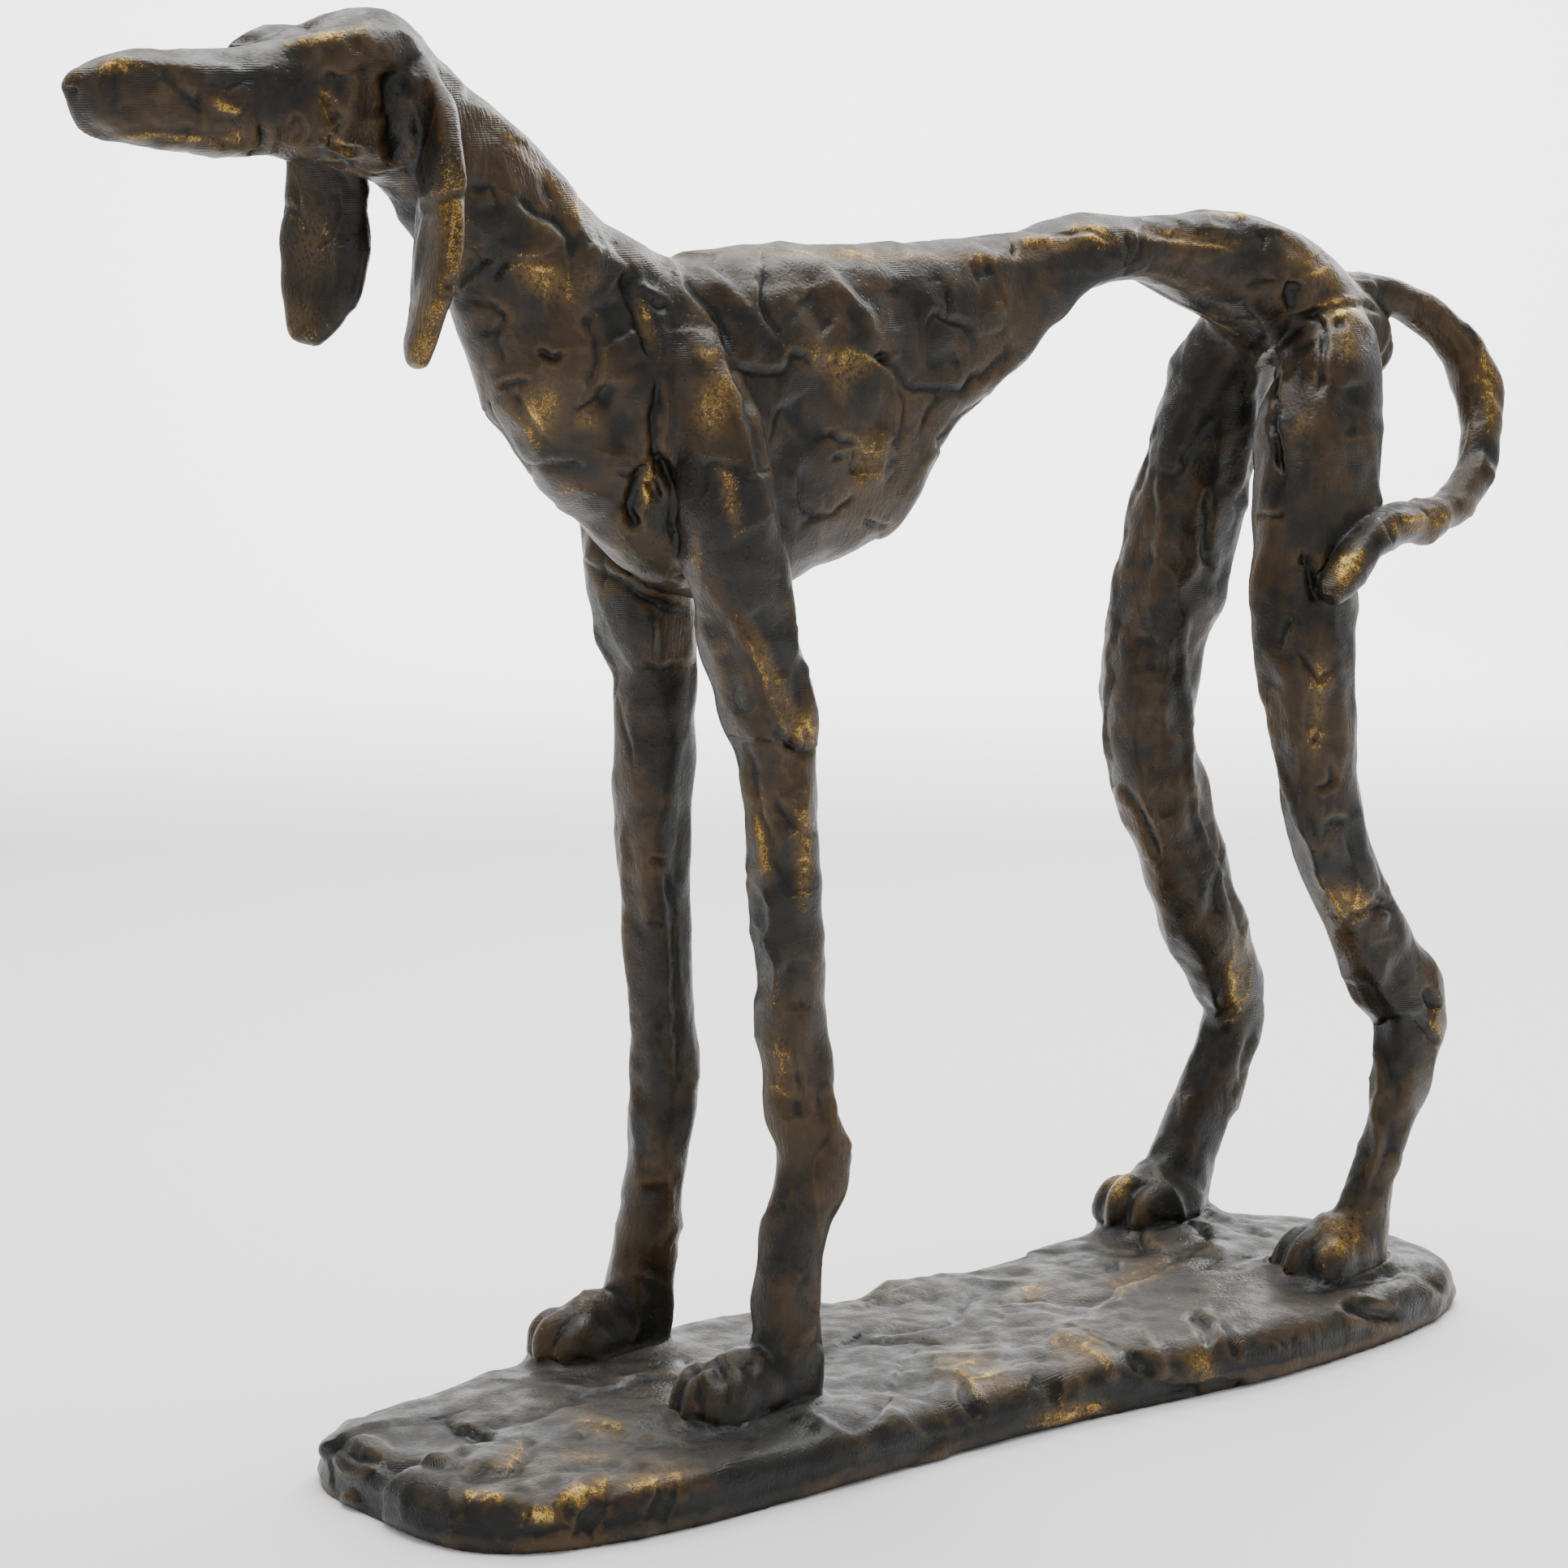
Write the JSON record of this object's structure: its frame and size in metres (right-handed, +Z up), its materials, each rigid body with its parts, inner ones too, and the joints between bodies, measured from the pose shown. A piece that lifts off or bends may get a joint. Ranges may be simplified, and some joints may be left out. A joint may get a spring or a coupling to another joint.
{
  "type": "polystone dog sculpture",
  "caption": "Standing long-legged hound, modelled in pressed clay strips and cast in one with a thin uneven base, in a dark patina.",
  "frame": {"origin": "middle of the base's flat underside", "axes": "+X towards the tail, with the head looking along -X; +Y to the hound's right; +Z up"},
  "size_m": [0.4451, 0.1105, 0.3561],
  "materials": {
    "patinated_polystone": "satin dark brown patina with black-green recesses and ochre gold rubbed on the ridges"
  },
  "bodies": {
    "root": {"dog_sculpture": "patinated_polystone"}
  },
  "joints": []
}
